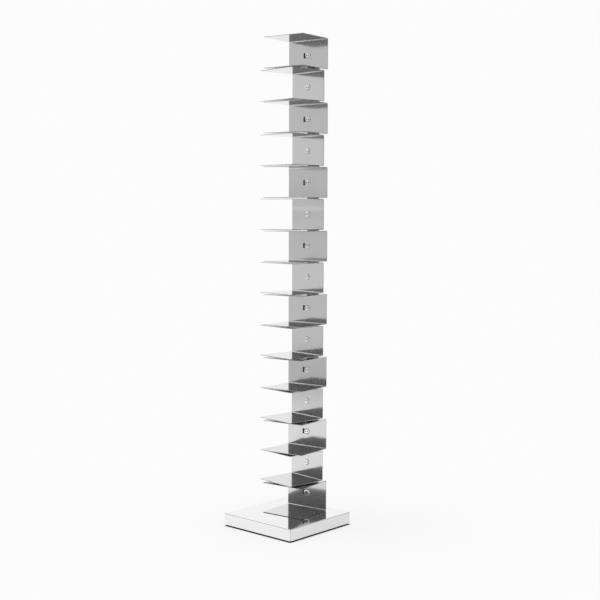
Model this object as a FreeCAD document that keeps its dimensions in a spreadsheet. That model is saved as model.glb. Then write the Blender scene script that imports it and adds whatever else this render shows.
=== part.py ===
"""Free-standing column bookshelf: bent sheet trays on a slim post over a weighted square base.

Frame: +Z up, origin on the floor under the centre of the base, trays open towards -Y.
Lengths are in millimetres and angles in degrees. Every driving size is a cell of the sheet
"sizes", and each sub-part is bound to those cells by expressions.
"""
import FreeCAD, Part
import os

import Sketcher

V = FreeCAD.Vector
UP = V(0, 0, 1)
DOC = FreeCAD.newDocument("column_bookshelf")

# ---------------------------------------------------------------- driving sizes
SIZES = [
    # the base
    ("base_side", 350),            # side of the square base
    ("base_height", 46),           # height of the base over its feet
    ("cover_lift", 1),             # rim of the cover above the underside of the ballast
    ("base_gauge", 2),             # sheet of the cover
    ("base_edge", 2.5),            # outside radius of the cover's folds
    ("ballast_height", 20),        # thickness of the steel ballast plate
    ("ballast_clearance", 3),      # gap between the ballast and the cover's walls
    ("foot_diameter", 32),         # rubber foot pads
    ("foot_height", 4),
    ("foot_inset", 35),            # from the base's side to the centre of a foot
    ("foot_screw_diameter", 5),
    ("foot_screw_head", 10),
    ("foot_screw_cone", 2.5),      # height of the countersunk head
    ("foot_screw_grip", 12),       # length of the shank above the head
    ("foot_screw_recess", 1),      # head above the floor
    ("stud_diameter", 6),          # studs welded under the cover
    ("stud_spread", 100),          # studs from the middle, left and right
    ("stud_inset", 35),            # studs from the front and the rear of the base
    ("stud_end", 3),               # bare stud under its nut
    ("stud_nut_flats", 10),
    ("stud_nut_height", 5),
    ("stud_nut_bore", 18),         # counterbore under the ballast
    ("stud_nut_depth", 10),
    ("spacer_diameter", 14),       # tubes that carry the cover on the ballast
    # the spine
    ("spine_width", 40),
    ("spine_depth", 30),
    ("spine_wall", 3),
    ("spine_radius", 3),
    ("spine_inset", 13),           # back of the post from the rear of the base
    ("spine_rise", 11),            # top of the post above the highest wedge block
    ("cap_flange", 3),
    ("cap_plug", 15),
    ("cap_clearance", 0.2),
    ("foot_plate_width", 120),
    ("foot_plate_depth", 100),
    ("foot_plate_gauge", 8),
    ("foot_plate_rear", 6),        # plate behind the back of the post
    ("anchor_diameter", 8),        # screws from the foot plate into the ballast
    ("anchor_length", 22),         # shank under the washer
    ("anchor_head", 13),
    ("anchor_head_height", 8),
    ("anchor_socket", 6.8),
    ("anchor_socket_depth", 4),
    ("anchor_inset", 15),          # from the foot plate's sides
    ("washer_diameter", 16),
    ("washer_gauge", 1.6),
    # the trays
    ("tray_count", 15),
    ("tray_width", 185),
    ("tray_depth", 170),
    ("tray_height", 120),
    ("tray_gap", 4),               # from one tray to the next
    ("tray_gauge", 2),
    ("tray_bend", 4.5),            # outside radius of the two bends
    ("tray_corner", 2),            # free corners of the shelves
    ("lean_angle", 6.5),           # trays turned about the vertical, one way and the other
    ("window_width", 9.5),         # key window beside the bolt, in every other tray
    ("window_height", 20.5),
    ("window_offset", 17),         # from the bolt to the middle of the window
    ("window_clearance", 0.25),
    ("key_recess", 1),             # key behind the front of the sheet
    # the wedge blocks
    ("wedge_thickness", 16),       # on the bolt's axis
    ("wedge_height", 70),
    ("cheek_gauge", 2),            # ribs that hold the sides of the post
    ("cheek_depth", 6),
    ("cheek_clearance", 0.2),
    ("wedge_screw_spacing", 50),
    ("wedge_screw_diameter", 5),
    ("wedge_screw_head", 10),
    ("wedge_screw_head_height", 3),
    ("wedge_screw_sink", 4),       # depth of the head's seat behind the bolt axis' face
    ("wedge_screw_end", 2),        # screw past the inside of the post's wall
    # the tray bolts
    ("bolt_diameter", 8),
    ("bolt_length", 14.5),         # shank under the head
    ("bolt_head", 25),
    ("bolt_head_height", 3.5),
    ("bolt_head_round", 2.5),
    ("drive_hole_diameter", 5),
    ("drive_hole_spacing", 12.5),
    ("drive_hole_depth", 2),
    ("bolt_nut_flats", 13),
    ("bolt_nut_height", 6.5),
    ("bolt_nut_seat", 5.5),        # plastic between the tray and the nut
    # fits
    ("hole_clearance", 0.5),       # on the diameter of plain holes
    ("thread_clearance", 0.1),     # on the diameter of threaded holes
    ("pocket_clearance", 0.3),     # across the flats of the nut pockets
    ("slot_clearance", 0.5),       # round the post where it passes the cover
]

sheet = DOC.addObject("Spreadsheet::Sheet", "sizes")
for row, (alias, value) in enumerate(SIZES, start=1):
    sheet.set(f"A{row}", alias)
    sheet.set(f"B{row}", str(value))
    sheet.setAlias(f"B{row}", alias)
DOC.recompute()
TRAY_COUNT = int(sheet.tray_count)

# ---------------------------------------------------------------- levels that several pieces share
BALLAST_TOP = "(sizes.foot_height + sizes.ballast_height)"
BALLAST_HALF = "(sizes.base_side / 2 - sizes.base_gauge - sizes.ballast_clearance)"
PLATE_TOP = f"({BALLAST_TOP} + sizes.foot_plate_gauge)"
BASE_TOP = "(sizes.foot_height + sizes.base_height)"
COVER_UNDERSIDE = f"({BASE_TOP} - sizes.base_gauge)"
COVER_HEIGHT = "(sizes.base_height - sizes.cover_lift)"
PITCH = "(sizes.tray_height + sizes.tray_gap)"
LEAN_SINE = "sin(sizes.lean_angle * 1 deg)"
LEAN_COSINE = "cos(sizes.lean_angle * 1 deg)"
SPINE_BACK = "(sizes.base_side / 2 - sizes.spine_inset)"
SPINE_FRONT = f"({SPINE_BACK} - sizes.spine_depth)"
TRAY_BACK = f"({SPINE_FRONT} - sizes.wedge_thickness)"
SPINE_TOP = (f"({BASE_TOP} + (sizes.tray_count - 1) * {PITCH} + sizes.tray_height / 2"
             " + sizes.wedge_height / 2 + sizes.spine_rise)")
STUD_REACH = "(sizes.base_side / 2 - sizes.stud_inset)"
FOOT_PLACE = "(sizes.base_side / 2 - sizes.foot_inset)"
ANCHOR_X = "(sizes.foot_plate_width / 2 - sizes.anchor_inset)"
PLATE_BACK = f"({SPINE_BACK} + sizes.foot_plate_rear)"
ANCHOR_REAR = f"({PLATE_BACK} - sizes.anchor_inset)"
ANCHOR_FRONT = f"({PLATE_BACK} - sizes.foot_plate_depth + sizes.anchor_inset)"


def tray_floor(index):
    """Height of the underside of a tray; the lowest tray has index 0 and lies on the base."""
    return f"({BASE_TOP} + {index} * {PITCH})"


def leans_right(index):
    """The lowest tray and every second one above it turn anticlockwise, seen from above."""
    return index % 2 == 0


# ---------------------------------------------------------------- helpers
def new_body(label):
    body = DOC.addObject("PartDesign::Body", label)
    body.Label = label
    return body


def place(part, x=None, y=None, z=None, lean=None):
    """Binds a sub-part's placement; lean is +1 or -1 for the way a tray is turned."""
    if lean is not None:
        part.Placement = FreeCAD.Placement(V(), FreeCAD.Rotation(V(0, 0, lean), 1))
        part.setExpression(".Placement.Rotation.Angle", "sizes.lean_angle")
    for axis, expression in (("x", x), ("y", y), ("z", z)):
        if expression is not None:
            part.setExpression(f".Placement.Base.{axis}", expression)


def origin_feature(body, role):
    return next(item for item in body.Origin.OriginFeatures if item.Role == role)


def new_sketch(body, name, plane, offset=None, lean=None):
    """A sketch on one of the body's origin planes, moved along its normal and turned if need be."""
    sketch = body.newObject("Sketcher::SketchObject", name)
    sketch.AttachmentSupport = [(origin_feature(body, plane), "")]
    sketch.MapMode = "FlatFace"
    if lean is None:
        if offset is not None:
            sketch.setExpression(".AttachmentOffset.Base.z", offset)
        return sketch
    sketch.AttachmentOffset = FreeCAD.Placement(V(), FreeCAD.Rotation(V(0, lean, 0), 1))
    sketch.setExpression(".AttachmentOffset.Rotation.Angle", "sizes.lean_angle")
    if offset is not None:
        sketch.setExpression(".AttachmentOffset.Base.x", f"{lean} * ({offset}) * {LEAN_SINE}")
        sketch.setExpression(".AttachmentOffset.Base.z", f"({offset}) * {LEAN_COSINE}")
    return sketch


def pin_point(sketch, geometry, point, x, y):
    for kind, expression in (("DistanceX", x), ("DistanceY", y)):
        number = sketch.addConstraint(Sketcher.Constraint(kind, geometry, point, 1.0))
        sketch.setExpression(f"Constraints[{number}]", expression)


def outline(sketch, points):
    """A closed outline of straight lines; each corner's coordinates are two expressions."""
    count = len(points)
    first = sketch.GeometryCount
    rough = Part.makeCircle(10).discretize(count + 1)
    for i in range(count):
        sketch.addGeometry(Part.LineSegment(rough[i], rough[(i + 1) % count]), False)
    for i in range(count):
        sketch.addConstraint(
            Sketcher.Constraint("Coincident", first + i, 2, first + (i + 1) % count, 1))
    for i, (x, y) in enumerate(points):
        pin_point(sketch, first + i, 1, x, y)


def rectangle(sketch, left, right, bottom, top):
    outline(sketch, [(left, bottom), (right, bottom), (right, top), (left, top)])


def circle(sketch, x, y, diameter):
    number = sketch.addGeometry(Part.Circle(V(1, 1, 0), UP, 1), False)
    pin_point(sketch, number, 3, x, y)
    size = sketch.addConstraint(Sketcher.Constraint("Diameter", number, 2.0))
    sketch.setExpression(f"Constraints[{size}]", diameter)


def hexagon(sketch, x, y, flats):
    """A regular hexagon with its flats upright."""
    side = f"({flats}) / sqrt(3)"
    ring = [(1, -0.5), (1, 0.5), (0, 1), (-1, 0.5), (-1, -0.5), (0, -1)]
    outline(sketch, [(f"{x} + {a} * ({flats}) / 2", f"{y} + {b} * {side}") for a, b in ring])


def pad(body, name, sketch, length, midplane=False, reverse=False):
    feature = body.newObject("PartDesign::Pad", name)
    feature.Profile = sketch
    feature.setExpression("Length", length)
    feature.Midplane = midplane
    feature.Reversed = reverse
    DOC.recompute()
    return feature


def pocket(body, name, sketch, depth=None, midplane=False, reverse=False):
    """A pocket of a stated depth, or right through; it has to take material away."""
    before = body.Shape.Volume
    feature = body.newObject("PartDesign::Pocket", name)
    feature.Profile = sketch
    feature.Midplane = midplane
    feature.Reversed = reverse
    if depth is None:
        feature.Type = "ThroughAll"
    else:
        feature.setExpression("Length", depth)
    DOC.recompute()
    if body.Shape.Volume >= before:
        raise RuntimeError(f"{body.Label}: {name} cuts nothing")
    return feature


def edges_where(shape, test):
    """Names of the straight edges whose middle point and direction pass the test."""
    names = []
    for number, edge in enumerate(shape.Edges, start=1):
        if edge.Curve.TypeId == "Part::GeomLine":
            run = edge.Vertexes[-1].Point - edge.Vertexes[0].Point
            if test(edge.CenterOfMass, run.normalize()):
                names.append(f"Edge{number}")
    return names


def fillet(body, name, radius, test):
    base = body.Tip
    names = edges_where(base.Shape, test)
    if not names:
        raise RuntimeError(f"{body.Label}: {name} finds no edge")
    feature = body.newObject("PartDesign::Fillet", name)
    feature.Base = (base, names)
    feature.setExpression("Radius", radius)
    DOC.recompute()
    return feature


def near(a, b):
    return abs(a - b) < 1e-4


def primitive(kind, name, placement=None, **sizes):
    """A Part primitive with its sizes bound; placement gives expressions for x, y and z."""
    shape = DOC.addObject(kind, name)
    for prop, expression in sizes.items():
        shape.setExpression(prop, expression)
    place(shape, **(placement or {}))
    return shape


def fuse(name, pieces):
    joined = DOC.addObject("Part::MultiFuse", name)
    joined.Shapes = pieces
    return joined


def cut(name, base, tool):
    result = DOC.addObject("Part::Cut", name)
    result.Base = base
    result.Tool = tool
    return result


def group(label, master, places):
    """One node of identical, separate fasteners: links to a master, each at its own place."""
    links = []
    for number, spot in enumerate(places, start=1):
        link = DOC.addObject("App::Link", f"{master.Name}_{number}")
        link.LinkedObject = master
        place(link, **spot)
        links.append(link)
    node = DOC.addObject("Part::Compound", label)
    node.Label = label
    node.Links = links
    return node


CORNERS = [(-1, -1), (1, -1), (1, 1), (-1, 1)]
NODES = []


# ---------------------------------------------------------------- base cover: folded polished sheet
def make_base_cover():
    body = new_body("base_cover")
    half = "sizes.base_side / 2"
    plan = new_sketch(body, "cover_plan", "XY_Plane")
    rectangle(plan, f"-{half}", half, f"-{half}", half)
    pad(body, "cover_block", plan, COVER_HEIGHT)
    height = sheet.base_height - sheet.cover_lift
    fillet(body, "cover_folds", "sizes.base_edge",
           lambda mid, run: near(abs(run.z), 1) or near(mid.z, height))
    inside = new_sketch(body, "cover_inside", "XY_Plane")
    inner = "(sizes.base_side / 2 - sizes.base_gauge)"
    rectangle(inside, f"-{inner}", inner, f"-{inner}", inner)
    pocket(body, "cover_hollow", inside, f"{COVER_HEIGHT} - sizes.base_gauge", reverse=True)
    slot = new_sketch(body, "cover_slot", "XY_Plane")
    slot_half = "(sizes.spine_width / 2 + sizes.slot_clearance)"
    rectangle(slot, f"-{slot_half}", slot_half,
              f"{SPINE_FRONT} - sizes.slot_clearance", f"{SPINE_BACK} + sizes.slot_clearance")
    pocket(body, "cover_passage", slot, reverse=True)
    place(body, z="sizes.foot_height + sizes.cover_lift")
    return body


# ---------------------------------------------------------------- ballast plate
def make_ballast_plate():
    body = new_body("ballast_plate")
    plan = new_sketch(body, "ballast_plan", "XY_Plane")
    rectangle(plan, f"-{BALLAST_HALF}", BALLAST_HALF, f"-{BALLAST_HALF}", BALLAST_HALF)
    pad(body, "ballast_block", plan, "sizes.ballast_height")
    holes = new_sketch(body, "ballast_through_holes", "XY_Plane")
    for x, y in CORNERS:
        circle(holes, f"{x} * sizes.stud_spread", f"{y} * {STUD_REACH}",
               "sizes.stud_diameter + sizes.hole_clearance")
        circle(holes, f"{x} * {ANCHOR_X}", ANCHOR_REAR if y > 0 else ANCHOR_FRONT,
               "sizes.anchor_diameter + sizes.thread_clearance")
    pocket(body, "ballast_drilling", holes, reverse=True)
    seats = new_sketch(body, "nut_seats", "XY_Plane")
    taps = new_sketch(body, "foot_taps", "XY_Plane")
    for x, y in CORNERS:
        circle(seats, f"{x} * sizes.stud_spread", f"{y} * {STUD_REACH}", "sizes.stud_nut_bore")
        circle(taps, f"{x} * {FOOT_PLACE}", f"{y} * {FOOT_PLACE}",
               "sizes.foot_screw_diameter + sizes.thread_clearance")
    pocket(body, "nut_counterbores", seats, "sizes.stud_nut_depth", reverse=True)
    pocket(body, "foot_tapping", taps, "sizes.foot_screw_grip", reverse=True)
    place(body, z="sizes.foot_height")
    return body


# ---------------------------------------------------------------- feet and their screws
def make_foot(label, x, y):
    pad_disc = primitive("Part::Cylinder", f"{label}_disc",
                         Radius="sizes.foot_diameter / 2", Height="sizes.foot_height")
    shank = primitive("Part::Cylinder", f"{label}_shank_hole",
                      Radius="(sizes.foot_screw_diameter + sizes.hole_clearance) / 2",
                      Height="sizes.foot_height")
    mouth = primitive("Part::Cylinder", f"{label}_mouth",
                      Radius="(sizes.foot_screw_head + sizes.hole_clearance) / 2",
                      Height="sizes.foot_screw_recess")
    cone = primitive("Part::Cone", f"{label}_countersink", {"z": "sizes.foot_screw_recess"},
                     Radius1="(sizes.foot_screw_head + sizes.hole_clearance) / 2",
                     Radius2="(sizes.foot_screw_diameter + sizes.hole_clearance) / 2",
                     Height="sizes.foot_screw_cone")
    foot = cut(label, pad_disc, fuse(f"{label}_screw_room", [shank, mouth, cone]))
    foot.Label = label
    place(foot, x=f"{x} * {FOOT_PLACE}", y=f"{y} * {FOOT_PLACE}")
    return foot


def make_foot_screws():
    head = primitive("Part::Cone", "foot_screw_head_cone",
                     Radius1="sizes.foot_screw_head / 2", Radius2="sizes.foot_screw_diameter / 2",
                     Height="sizes.foot_screw_cone")
    shank = primitive("Part::Cylinder", "foot_screw_shank", {"z": "sizes.foot_screw_cone"},
                      Radius="sizes.foot_screw_diameter / 2", Height="sizes.foot_screw_grip")
    master = fuse("foot_screw", [head, shank])
    spots = [{"x": f"{x} * {FOOT_PLACE}", "y": f"{y} * {FOOT_PLACE}", "z": "sizes.foot_screw_recess"}
             for x, y in CORNERS]
    return group("foot_screws", master, spots)


# ---------------------------------------------------------------- what carries the cover on the ballast
def stud_spots(height):
    return [{"x": f"{x} * sizes.stud_spread", "y": f"{y} * {STUD_REACH}", "z": height}
            for x, y in CORNERS]


def make_cover_studs():
    seat = "(sizes.foot_height + sizes.stud_nut_depth)"
    low = f"({seat} - sizes.stud_nut_height - sizes.stud_end)"
    master = primitive("Part::Cylinder", "cover_stud", Radius="sizes.stud_diameter / 2",
                       Height=f"{COVER_UNDERSIDE} - {low}")
    return group("cover_studs", master, stud_spots(low))


def make_cover_spacers():
    height = f"{COVER_UNDERSIDE} - {BALLAST_TOP}"
    tube = primitive("Part::Cylinder", "spacer_outside", Radius="sizes.spacer_diameter / 2",
                     Height=height)
    bore = primitive("Part::Cylinder", "spacer_bore",
                     Radius="(sizes.stud_diameter + sizes.hole_clearance) / 2", Height=height)
    return group("cover_spacers", cut("cover_spacer", tube, bore), stud_spots(BALLAST_TOP))


def make_nut(name, flats, height, bore, upright=True):
    """A hexagon nut: along +Z from z = 0, or along +Y from y = 0."""
    body = new_body(name)
    sketch = new_sketch(body, f"{name}_flats", "XY_Plane" if upright else "XZ_Plane")
    hexagon(sketch, "0", "0", flats)
    circle(sketch, "0", "0", bore)
    pad(body, f"{name}_blank", sketch, height, reverse=not upright)
    return body


def make_cover_nuts():
    nut = make_nut("cover_nut", "sizes.stud_nut_flats", "sizes.stud_nut_height",
                   "sizes.stud_diameter + sizes.thread_clearance")
    seat = "sizes.foot_height + sizes.stud_nut_depth - sizes.stud_nut_height"
    return group("cover_nuts", nut, stud_spots(seat))


# ---------------------------------------------------------------- spine: post, foot plate and cap
def make_spine_post():
    body = new_body("spine_post")
    plan = new_sketch(body, "post_plan", "XY_Plane")
    half = "sizes.spine_width / 2"
    rectangle(plan, f"-{half}", half, "0", "sizes.spine_depth")
    pad(body, "post_bar", plan, f"{SPINE_TOP} - {PLATE_TOP}")
    fillet(body, "post_corners", "sizes.spine_radius", lambda mid, run: near(abs(run.z), 1))
    inside = new_sketch(body, "post_inside", "XY_Plane")
    inner = "(sizes.spine_width / 2 - sizes.spine_wall)"
    rectangle(inside, f"-{inner}", inner, "sizes.spine_wall", "sizes.spine_depth - sizes.spine_wall")
    pocket(body, "post_hollow", inside, reverse=True)
    taps = new_sketch(body, "post_taps", "XZ_Plane")
    middle = f"{BASE_TOP} - {PLATE_TOP} + sizes.tray_height / 2"
    for side in (-1, 1):
        circle(taps, "0", f"{middle} + {side} * sizes.wedge_screw_spacing / 2",
               "sizes.wedge_screw_diameter + sizes.thread_clearance")
    tapping = pocket(body, "post_tapping", taps, "sizes.spine_wall")
    rows = body.newObject("PartDesign::LinearPattern", "post_tap_rows")
    rows.Originals = [tapping]
    rows.Direction = (origin_feature(body, "Z_Axis"), [""])
    rows.setExpression("Length", f"(sizes.tray_count - 1) * {PITCH}")
    rows.setExpression("Occurrences", "sizes.tray_count")
    body.Tip = rows
    place(body, y=SPINE_FRONT, z=PLATE_TOP)
    return body


def make_spine_foot_plate():
    body = new_body("spine_foot_plate")
    plan = new_sketch(body, "foot_plate_plan", "XY_Plane")
    half = "sizes.foot_plate_width / 2"
    rectangle(plan, f"-{half}", half, f"{PLATE_BACK} - sizes.foot_plate_depth", PLATE_BACK)
    pad(body, "foot_plate_blank", plan, "sizes.foot_plate_gauge")
    holes = new_sketch(body, "foot_plate_holes", "XY_Plane")
    for x in (-1, 1):
        for y in (ANCHOR_FRONT, ANCHOR_REAR):
            circle(holes, f"{x} * {ANCHOR_X}", y, "sizes.anchor_diameter + sizes.hole_clearance")
    pocket(body, "foot_plate_drilling", holes, reverse=True)
    place(body, z=BALLAST_TOP)
    return body


def make_spine_cap():
    body = new_body("spine_cap")
    flange = new_sketch(body, "cap_flange_plan", "XY_Plane")
    half = "sizes.spine_width / 2"
    rectangle(flange, f"-{half}", half, "0", "sizes.spine_depth")
    pad(body, "cap_flange_plate", flange, "sizes.cap_flange")
    plug = new_sketch(body, "cap_plug_plan", "XY_Plane")
    inset = "(sizes.spine_wall + sizes.cap_clearance)"
    rectangle(plug, f"-{half} + {inset}", f"{half} - {inset}", inset, f"sizes.spine_depth - {inset}")
    pad(body, "cap_plug_block", plug, "sizes.cap_plug", reverse=True)
    fillet(body, "cap_corners", "sizes.spine_radius",
           lambda mid, run: near(abs(run.z), 1) and mid.z > 0)
    place(body, y=SPINE_FRONT, z=SPINE_TOP)
    return body


# ---------------------------------------------------------------- anchors of the foot plate
def anchor_spots(height):
    return [{"x": f"{x} * {ANCHOR_X}", "y": y, "z": height}
            for x in (-1, 1) for y in (ANCHOR_FRONT, ANCHOR_REAR)]


def make_anchor_screws():
    body = new_body("anchor_screw")
    shank = new_sketch(body, "anchor_shank_round", "XY_Plane")
    circle(shank, "0", "0", "sizes.anchor_diameter")
    pad(body, "anchor_shank", shank, "sizes.anchor_length", reverse=True)
    head = new_sketch(body, "anchor_head_round", "XY_Plane")
    circle(head, "0", "0", "sizes.anchor_head")
    pad(body, "anchor_cylinder", head, "sizes.anchor_head_height")
    socket = new_sketch(body, "anchor_socket_flats", "XY_Plane", offset="sizes.anchor_head_height")
    hexagon(socket, "0", "0", "sizes.anchor_socket")
    pocket(body, "anchor_hexagon", socket, "sizes.anchor_socket_depth")
    return group("anchor_screws", body, anchor_spots(f"{PLATE_TOP} + sizes.washer_gauge"))


def make_anchor_washers():
    disc = primitive("Part::Cylinder", "washer_disc", Radius="sizes.washer_diameter / 2",
                     Height="sizes.washer_gauge")
    hole = primitive("Part::Cylinder", "washer_hole",
                     Radius="(sizes.anchor_diameter + sizes.hole_clearance) / 2",
                     Height="sizes.washer_gauge")
    return group("anchor_washers", cut("anchor_washer", disc, hole), anchor_spots(PLATE_TOP))


# ---------------------------------------------------------------- trays: one sheet bent twice
def make_tray(index):
    """Back plate with a shelf at its foot and one at its head, turned about the bolt's upright."""
    label = f"tray_{index + 1:02d}"
    body = new_body(label)
    plan = new_sketch(body, f"{label}_plan", "XY_Plane")
    half = "sizes.tray_width / 2"
    rectangle(plan, f"-{half}", half, "-sizes.tray_depth", "0")
    pad(body, f"{label}_block", plan, "sizes.tray_height")
    fillet(body, f"{label}_outer_bends", "sizes.tray_bend",
           lambda mid, run: near(abs(run.x), 1) and near(mid.y, 0))
    profile = new_sketch(body, f"{label}_profile", "YZ_Plane")
    rectangle(profile, "-sizes.tray_depth - sizes.tray_gauge", "-sizes.tray_gauge",
              "sizes.tray_gauge", "sizes.tray_height - sizes.tray_gauge")
    pocket(body, f"{label}_bay", profile, midplane=True)
    gauge = sheet.tray_gauge
    fillet(body, f"{label}_inner_bends", "sizes.tray_bend - sizes.tray_gauge",
           lambda mid, run: near(abs(run.x), 1) and near(mid.y, -gauge))
    depth = sheet.tray_depth
    fillet(body, f"{label}_corners", "sizes.tray_corner",
           lambda mid, run: near(abs(run.z), 1) and near(mid.y, -depth))
    drilling = new_sketch(body, f"{label}_bolt_hole", "XZ_Plane")
    circle(drilling, "0", "sizes.tray_height / 2", "sizes.bolt_diameter + sizes.hole_clearance")
    pocket(body, f"{label}_drilling", drilling, midplane=True)
    if leans_right(index):
        window = new_sketch(body, f"{label}_window", "XZ_Plane")
        rectangle(window, "-sizes.window_offset - sizes.window_width / 2",
                  "-sizes.window_offset + sizes.window_width / 2",
                  "(sizes.tray_height - sizes.window_height) / 2",
                  "(sizes.tray_height + sizes.window_height) / 2")
        pocket(body, f"{label}_key_window", window, midplane=True)
    place(body, y=TRAY_BACK, z=tray_floor(index), lean=1 if leans_right(index) else -1)
    return body


# ---------------------------------------------------------------- wedge blocks between post and trays
def make_wedge(index):
    """A moulded block whose front face leans with its tray; two ribs hold the sides of the post."""
    label = f"wedge_{index + 1:02d}"
    lean = 1 if leans_right(index) else -1
    body = new_body(label)
    plan = new_sketch(body, f"{label}_plan", "XY_Plane")
    rib_inside = "(sizes.spine_width / 2 + sizes.cheek_clearance)"
    rib_outside = f"({rib_inside} + sizes.cheek_gauge)"
    slope = f"{lean} * {rib_outside} * tan(sizes.lean_angle * 1 deg)"
    rib_end = "sizes.wedge_thickness + sizes.cheek_depth"
    outline(plan, [
        (f"-{rib_outside}", f"-({slope})"),
        (rib_outside, slope),
        (rib_outside, rib_end),
        (rib_inside, rib_end),
        (rib_inside, "sizes.wedge_thickness"),
        (f"-{rib_inside}", "sizes.wedge_thickness"),
        (f"-{rib_inside}", rib_end),
        (f"-{rib_outside}", rib_end),
    ])
    pad(body, f"{label}_block", plan, "sizes.wedge_height", midplane=True)
    if leans_right(index):
        key = new_sketch(body, f"{label}_key", "XZ_Plane", lean=lean)
        reach = "(sizes.window_width / 2 - sizes.window_clearance)"
        rise = "(sizes.window_height / 2 - sizes.window_clearance)"
        rectangle(key, f"-sizes.window_offset - {reach}", f"-sizes.window_offset + {reach}",
                  f"-{rise}", rise)
        pad(body, f"{label}_key_block", key, "sizes.tray_gauge - sizes.key_recess")
    bolt_way = new_sketch(body, f"{label}_bolt_way", "XZ_Plane", lean=lean)
    circle(bolt_way, "0", "0", "sizes.bolt_diameter + sizes.hole_clearance")
    pocket(body, f"{label}_bolt_bore", bolt_way, midplane=True)
    nut_room = new_sketch(body, f"{label}_nut_room", "XZ_Plane", lean=lean,
                          offset="-sizes.bolt_nut_seat")
    hexagon(nut_room, "0", "0", "(sizes.bolt_nut_flats + sizes.pocket_clearance)")
    pocket(body, f"{label}_nut_pocket", nut_room)
    screw_ways = new_sketch(body, f"{label}_screw_ways", "XZ_Plane")
    seats = new_sketch(body, f"{label}_screw_seats", "XZ_Plane", offset="sizes.wedge_screw_sink")
    for side in (-1, 1):
        height = f"{side} * sizes.wedge_screw_spacing / 2"
        circle(screw_ways, "0", height, "sizes.wedge_screw_diameter + sizes.hole_clearance")
        circle(seats, "0", height, "sizes.wedge_screw_head + sizes.hole_clearance")
    pocket(body, f"{label}_screw_bores", screw_ways, midplane=True)
    pocket(body, f"{label}_screw_counterbores", seats, "2 * sizes.wedge_screw_sink")
    place(body, y=TRAY_BACK, z=f"{tray_floor(index)} + sizes.tray_height / 2")
    return body


# ---------------------------------------------------------------- fasteners of the trays
def tray_spots(along):
    """Where each tray's bolt axis is, moved along that axis from the back of the tray."""
    spots = []
    for index in range(TRAY_COUNT):
        lean = 1 if leans_right(index) else -1
        spots.append({
            "x": f"{-lean} * ({along}) * {LEAN_SINE}",
            "y": f"{TRAY_BACK} + ({along}) * {LEAN_COSINE}",
            "z": f"{tray_floor(index)} + sizes.tray_height / 2",
            "lean": lean,
        })
    return spots


def make_tray_bolts():
    """Low domed heads with two blind holes for a pin spanner."""
    body = new_body("tray_bolt")
    head = new_sketch(body, "bolt_head_round", "XZ_Plane")
    circle(head, "0", "0", "sizes.bolt_head")
    pad(body, "bolt_head_disc", head, "sizes.bolt_head_height")
    front = -sheet.bolt_head_height
    disc = body.Tip
    rims = [f"Edge{number}" for number, edge in enumerate(disc.Shape.Edges, start=1)
            if edge.Curve.TypeId == "Part::GeomCircle" and near(edge.CenterOfMass.y, front)]
    dome = body.newObject("PartDesign::Fillet", "bolt_head_dome")
    dome.Base = (disc, rims)
    dome.setExpression("Radius", "sizes.bolt_head_round")
    DOC.recompute()
    shank = new_sketch(body, "bolt_shank_round", "XZ_Plane")
    circle(shank, "0", "0", "sizes.bolt_diameter")
    pad(body, "bolt_shank", shank, "sizes.bolt_length", reverse=True)
    drive = new_sketch(body, "bolt_drive_holes", "XZ_Plane", offset="sizes.bolt_head_height")
    for side in (-1, 1):
        circle(drive, f"{side} * sizes.drive_hole_spacing / 2", "0", "sizes.drive_hole_diameter")
    pocket(body, "bolt_drive", drive, "sizes.drive_hole_depth")
    return group("tray_bolts", body, tray_spots("-sizes.tray_gauge"))


def make_tray_nuts():
    nut = make_nut("tray_nut", "sizes.bolt_nut_flats", "sizes.bolt_nut_height",
                   "sizes.bolt_diameter + sizes.thread_clearance", upright=False)
    return group("tray_nuts", nut, tray_spots("sizes.bolt_nut_seat"))


def make_wedge_screws():
    body = new_body("wedge_screw")
    head = new_sketch(body, "wedge_screw_head_round", "XZ_Plane")
    circle(head, "0", "0", "sizes.wedge_screw_head")
    pad(body, "wedge_screw_head_disc", head, "sizes.wedge_screw_head_height")
    shank = new_sketch(body, "wedge_screw_shank_round", "XZ_Plane")
    circle(shank, "0", "0", "sizes.wedge_screw_diameter")
    pad(body, "wedge_screw_shank", shank, reverse=True,
        length="sizes.wedge_thickness - sizes.wedge_screw_sink + sizes.spine_wall + sizes.wedge_screw_end")
    spots = []
    for index in range(TRAY_COUNT):
        for side in (-1, 1):
            spots.append({
                "y": f"{TRAY_BACK} + sizes.wedge_screw_sink",
                "z": f"{tray_floor(index)} + sizes.tray_height / 2"
                     f" + {side} * sizes.wedge_screw_spacing / 2",
            })
    return group("wedge_screws", body, spots)


# ---------------------------------------------------------------- the whole
NODES += [make_base_cover(), make_ballast_plate()]
NODES += [
    make_foot("foot_front_left", -1, -1),
    make_foot("foot_front_right", 1, -1),
    make_foot("foot_rear_right", 1, 1),
    make_foot("foot_rear_left", -1, 1),
    make_foot_screws(),
]
NODES += [make_cover_studs(), make_cover_spacers(), make_cover_nuts()]
NODES += [make_spine_post(), make_spine_foot_plate(), make_spine_cap()]
NODES += [make_anchor_screws(), make_anchor_washers()]
NODES += [make_wedge(index) for index in range(TRAY_COUNT)]
NODES += [make_tray(index) for index in range(TRAY_COUNT)]
NODES += [make_tray_bolts(), make_tray_nuts(), make_wedge_screws()]
DOC.recompute()

# ---------------------------------------------------------------- checks and files
for item in DOC.Objects:
    if "Invalid" in item.State or "Error" in item.State:
        raise RuntimeError(f"{item.Label} failed: {item.State}")
os.makedirs("parts", exist_ok=True)
for node in NODES:
    shape = node.Shape
    if shape.isNull() or not shape.isValid():
        raise RuntimeError(f"{node.Label} has no valid shape")
    shape.exportStep(f"parts/{node.Label}.step")
    box = shape.BoundBox
    print(f"{node.Label:18s} solids {len(shape.Solids):2d}  volume {shape.Volume:12.1f}  "
          f"z {box.ZMin:8.2f} to {box.ZMax:8.2f}")
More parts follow.
